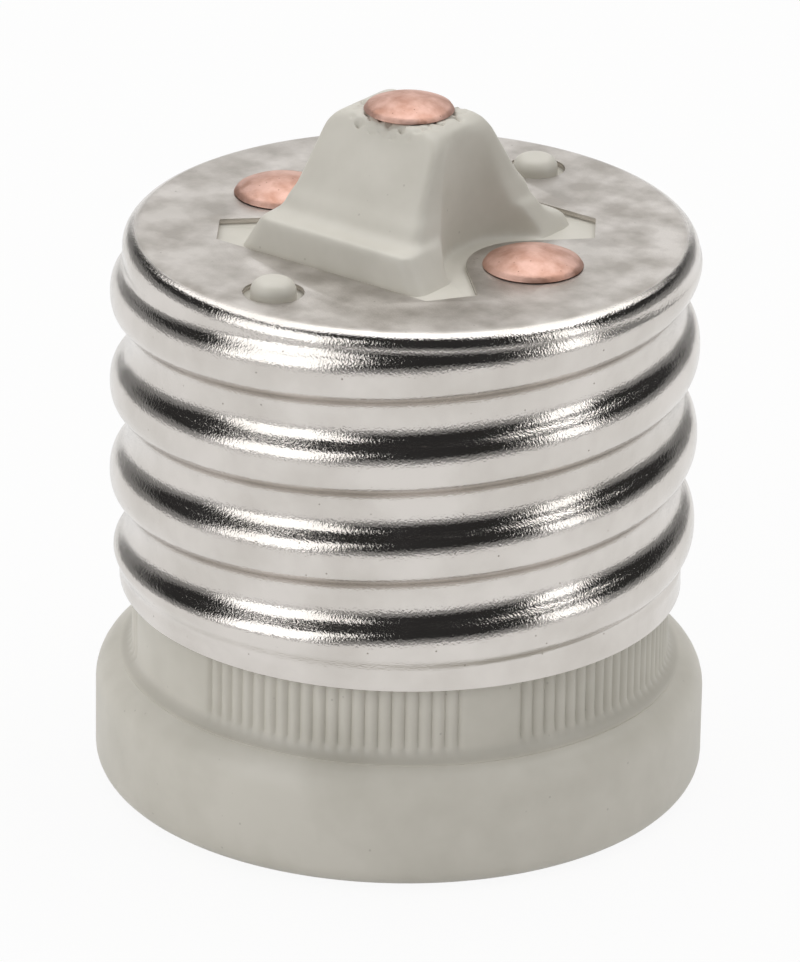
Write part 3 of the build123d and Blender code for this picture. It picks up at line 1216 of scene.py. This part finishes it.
@dataclass
class LampSocket:
    """The smaller screw shell inside the mouth, and the spring contact at its end."""

    radius: float = 13.3
    sheet: float = 0.4
    mouth: float = 3.0
    depth: float = 26.0
    wall_top: float = 21.0
    end_step: float = 0.4
    end_blend: float = 0.4
    end_round: float = 0.6
    floor_hole: float = 6.6
    pitch: float = 3.629
    thread_depth: float = 0.75
    thread_lead: Point = (0.8, 2.6)
    thread_end: float = 1.5
    segments: int = 160
    rings: int = 90
    rivet_line: float = RIVET_LINE
    rivet_hole: float = 1.7
    contact_width: float = 6.0
    contact_sheet: float = 0.5
    contact_leg: float = 3.4
    contact_bend: float = 1.5
    contact_slope: float = 0.9
    contact_lip: float = 1.2
    contact_edge: float = 0.1
    tip_hole: float = 1.6
    tip_reach: float = 0.6
    edge_angle: float = 40.0
    smooth_angles: Point = (40.0, 30.0)

    def inner_radius(self, turn: float, height: float) -> float:
        """Inner radius of the rolled socket thread.

        Args:
            turn: Angle round the axis, in turns.
            height: Height above the floor.

        Returns:
            The inner radius there.
        """
        wave = 0.5 - 0.5 * math.cos(math.tau * (height / self.pitch - turn))
        start, full = (self.mouth + rise for rise in self.thread_lead)
        span = ramp(height, start, full) * (1 - ramp(height, self.wall_top - self.thread_end, self.wall_top))
        end = self.end_step * ramp(height, self.wall_top - self.end_blend, self.wall_top + self.end_blend)
        return self.radius - self.thread_depth * wave * span - end

    def shell(self) -> bpy.types.Object:
        """Models the threaded cup with its pierced floor."""
        edge = self.depth - self.sheet - self.end_round
        heights = (self.mouth, edge)
        cup = threaded_wall("socket_shell", heights, self.radius, self.segments, self.rings, self.inner_radius)
        inside = self.radius - self.end_step
        rounds = arc((inside - self.end_round, edge), self.end_round, 0, 90, 5)
        draw_ring(rounds + [(self.floor_hole, edge + self.end_round)])
        face_outwards()
        apply_modifier(cup, "SOLIDIFY", thickness=self.sheet * MM, offset=1.0, use_even_offset=True)
        tools = []
        for side in (1, -1):
            place = (side * self.rivet_line, 0)
            tools.append(rod("rivet_tool", place, self.rivet_hole, self.depth - 1, self.depth + 1, 48))
        cut(cup, join(tools))
        smooth(cup, self.smooth_angles[0])
        return cup

    def contact(self) -> bpy.types.Object:
        """Models the spring strip: a short edge is drawn out along the fold and given its thickness."""
        leg_height = self.depth - self.contact_sheet / 2
        leaf_height = leg_height - 2 * self.contact_bend
        free = (-self.contact_leg, leaf_height - self.contact_slope)
        path = [(-self.contact_leg, leg_height), (0.0, leg_height)]
        path += arc((self.contact_leg, leg_height - self.contact_bend), self.contact_bend, 90, -90, 14)
        lip = (free[0] - self.contact_lip, free[1] + self.contact_lip)
        path += [(0.0, (leaf_height + free[1]) / 2), free, lip]
        to_object_mode()
        bpy.ops.mesh.primitive_plane_add(size=1.0)
        strip = take_new("spring_contact")
        edit(strip)
        pick(strip, Pick.VERTS, lambda place, normal: place.x > 0)
        bpy.ops.mesh.delete(type="VERT")
        bpy.ops.mesh.select_all(action="SELECT")
        half = self.contact_width / 2
        for vert, side in zip(bmesh.from_edit_mesh(strip.data).verts, (-1, 1)):
            vert.co = Vector((path[0][0], side * half, path[0][1])) * MM
        bpy.ops.mesh.select_mode(type="EDGE")
        bpy.ops.mesh.select_all(action="SELECT")
        for start, end in zip(path, path[1:]):
            step = ((end[0] - start[0]) * MM, 0, (end[1] - start[1]) * MM)
            bpy.ops.mesh.extrude_edges_move(TRANSFORM_OT_translate={"value": step})
        face_outwards()
        apply_modifier(strip, "SOLIDIFY", thickness=self.contact_sheet * MM, offset=0.0, use_even_offset=True)
        low, high = leg_height - self.tip_reach, leg_height + self.tip_reach
        cut(strip, rod("tip_tool", (0, 0), self.tip_hole, low, high, 48))
        limit = math.radians(self.edge_angle)
        width = self.contact_edge * MM
        apply_modifier(strip, "BEVEL", width=width, segments=2, limit_method="ANGLE", angle_limit=limit)
        smooth(strip, self.smooth_angles[1])
        return strip

    def build(self, look: bpy.types.Material) -> list[bpy.types.Object]:
        """Builds and dresses the socket's two pieces.

        Args:
            look: Their material.

        Returns:
            The socket shell and the contact.
        """
        return [
            finish_piece(self.shell(), Slot.BRASS, look, "socket_screw_shell"),
            finish_piece(self.contact(), Slot.BRASS, look, "centre_contact"),
        ]


@dataclass(frozen=True)
class SoftBox:
    """A soft lamp: degrees round from the camera and up, metres away, its face in metres and its watts."""

    name: str
    azimuth: float
    elevation: float
    far: float
    face: Point
    power: float


@dataclass(frozen=True)
class Card:
    """A dark card: its span in degrees up and round from the camera, and its brightness, where 1 is white."""

    name: str
    heights: Point
    turns: Point
    shade: float


@dataclass
class Studio:
    """Pale floor, soft lamps, dark cards for the metal, and the camera."""

    azimuth: float = 36.6
    elevation: float = 23.4
    distance: float = 520.0
    focal_px: float = 7831.0
    image: tuple[int, int] = (800, 962)
    aim: tuple[float, float, float] = (0.0, 0.0, 24.25)
    aim_px: Point = (403.5, 427.5)
    roll: float = 1.0
    sensor: float = 36.0
    near_clip: float = 0.01
    lamp_aim: float = 25.0
    fill: float = 0.24
    floor_size: float = 6.0
    floor_paper: str = "E6E5E3"
    floor_white: float = 0.92
    card_far: float = 1.6
    card_grid: tuple[int, int] = (24, 8)
    lamps: tuple[SoftBox, ...] = (
        SoftBox("top_box", 180, 70, 0.75, (1.2, 0.75), 4.9),
        SoftBox("left_box", -54, 28, 0.8, (0.66, 0.64), 2.4),
        SoftBox("right_box", 66, 24, 0.8, (0.26, 0.52), 0.85),
        SoftBox("side_box", 94, 58, 0.8, (0.4, 0.3), 0.5),
    )
    cards: tuple[Card, ...] = (
        Card("low_card", (1, 19), (-160, 160), 0.3),
        Card("dark_card", (19, 84), (-160, 160), 0.03),
        Card("back_card", (38, 60), (160, 200), 0.03),
    )

    def direction(self, azimuth: float, elevation: float) -> Vector:
        """Unit vector from the object towards a place in the studio.

        Args:
            azimuth: Degrees round from the -Y side towards +X.
            elevation: Degrees above the floor.

        Returns:
            The direction.
        """
        turn, lift = math.radians(azimuth), math.radians(elevation)
        return Vector((math.sin(turn) * math.cos(lift), -math.cos(turn) * math.cos(lift), math.sin(lift)))

    def camera(self) -> None:
        """Places the camera where the photograph was taken from."""
        data = bpy.data.cameras.new("camera")
        camera = bpy.data.objects.new("camera", data)
        bpy.context.scene.collection.objects.link(camera)
        data.sensor_width = self.sensor
        data.lens = self.focal_px * self.sensor / max(self.image)
        data.clip_start = self.near_clip
        back = self.direction(self.azimuth, self.elevation)
        roll = Quaternion((0, 0, 1), math.radians(self.roll))
        turn = (-back).to_track_quat("-Z", "Y") @ roll
        per_px = self.distance / self.focal_px
        across = turn @ Vector((1, 0, 0))
        upward = turn @ Vector((0, 1, 0))
        off_x = (self.image[0] / 2 - self.aim_px[0]) * per_px
        off_y = (self.aim_px[1] - self.image[1] / 2) * per_px
        place = Vector(self.aim) + back * self.distance + across * off_x + upward * off_y
        camera.location = place * MM
        camera.rotation_mode = "QUATERNION"
        camera.rotation_quaternion = turn
        bpy.context.scene.camera = camera

    def lamp(self, box: SoftBox) -> None:
        """Adds one soft lamp that faces the object.

        Args:
            box: The lamp's place, face and power.
        """
        data = bpy.data.lights.new(box.name, "AREA")
        data.shape = "RECTANGLE"
        data.size, data.size_y = box.face
        data.energy = box.power
        lamp = bpy.data.objects.new(box.name, data)
        bpy.context.scene.collection.objects.link(lamp)
        way = self.direction(self.azimuth + box.azimuth, box.elevation)
        lamp.location = way * box.far + Vector((0, 0, self.lamp_aim * MM))
        lamp.rotation_mode = "QUATERNION"
        lamp.rotation_quaternion = way.to_track_quat("Z", "Y")

    def world(self) -> None:
        """Sets a white surround that the camera and the metal see, and a softer light from it."""
        world = bpy.data.worlds.new("surround")
        bpy.context.scene.world = world
        world.use_nodes = True
        tree = world.node_tree
        tree.nodes.clear()
        path = add_node(tree, "ShaderNodeLightPath")
        seen = add_node(
            tree,
            "ShaderNodeMath",
            {0: path.outputs["Is Camera Ray"], 1: path.outputs["Is Glossy Ray"]},
            operation="MAXIMUM",
        )
        seen = add_node(
            tree,
            "ShaderNodeMath",
            {0: seen.outputs[0], 1: path.outputs["Is Transmission Ray"]},
            operation="MAXIMUM",
        )
        limits = {"To Min": self.fill, "To Max": 1.0}
        level = add_node(tree, "ShaderNodeMapRange", {"Value": seen.outputs[0], **limits})
        strength = level.outputs["Result"]
        light = add_node(tree, "ShaderNodeBackground", {"Color": grey(1.0), "Strength": strength})
        output = add_node(tree, "ShaderNodeOutputWorld")
        tree.links.new(light.outputs["Background"], output.inputs["Surface"])

    def floor(self) -> None:
        """Adds the pale floor, which stays white to the camera apart from the object's shadow."""
        to_object_mode()
        bpy.ops.mesh.primitive_plane_add(size=self.floor_size)
        floor = take_new("floor")
        look, tree, surface = new_material("pale_floor")
        path = add_node(tree, "ShaderNodeLightPath")
        paper = add_node(tree, "ShaderNodeBsdfDiffuse", {"Color": linear(self.floor_paper)})
        white = add_node(tree, "ShaderNodeEmission", {"Color": grey(1.0), "Strength": 1.0})
        seen = add_node(
            tree,
            "ShaderNodeMath",
            {0: path.outputs["Is Camera Ray"], 1: path.outputs["Is Glossy Ray"]},
            operation="MAXIMUM",
        )
        limits = {"To Min": 0.0, "To Max": self.floor_white}
        share = add_node(tree, "ShaderNodeMapRange", {"Value": seen.outputs["Value"], **limits})
        mixed = add_node(
            tree,
            "ShaderNodeMixShader",
            {0: share.outputs["Result"], 1: paper.outputs["BSDF"], 2: white.outputs["Emission"]},
        )
        tree.links.new(mixed.outputs["Shader"], surface)
        floor.data.materials.append(look)

    def card(self, plan: Card) -> None:
        """Adds a dark card that only the metal's reflections see.

        Args:
            plan: The card's span and brightness.
        """
        low, high = plan.heights
        start, end = (self.azimuth + turn for turn in plan.turns)
        steps, rows = self.card_grid
        corners = []
        for row in range(rows + 1):
            lift = low + (high - low) * row / rows
            for step in range(steps + 1):
                corners.append(self.direction(start + (end - start) * step / steps, lift) * self.card_far)
        width = steps + 1
        first = [row * width + step for row in range(rows) for step in range(steps)]
        faces = [(corner, corner + 1, corner + width + 1, corner + width) for corner in first]
        mesh = bpy.data.meshes.new(plan.name)
        mesh.from_pydata(corners, [], faces)
        card = bpy.data.objects.new(plan.name, mesh)
        bpy.context.scene.collection.objects.link(card)
        look, tree, surface = new_material(plan.name)
        dark = add_node(tree, "ShaderNodeEmission", {"Color": grey(plan.shade)})
        tree.links.new(dark.outputs["Emission"], surface)
        mesh.materials.append(look)
        card.visible_camera = False
        card.visible_diffuse = False
        card.visible_shadow = False
        card.visible_transmission = False

    def build(self) -> None:
        """Sets up the whole studio."""
        self.camera()
        self.world()
        self.floor()
        for box in self.lamps:
            self.lamp(box)
        for plan in self.cards:
            self.card(plan)
        bpy.context.scene.view_settings.view_transform = "Standard"


def main() -> None:
    """Builds the adapter's pieces in order, then the studio."""
    logging.basicConfig(level=logging.INFO, format="%(name)s: %(message)s")
    ScrewShell().build(NICKEL.material())
    PorcelainBody().build(PressedPorcelain().material())
    Rivets().build(COPPER.material())
    LampSocket().build(BRASS.material())
    Studio().build()


if __name__ == "__main__":
    main()
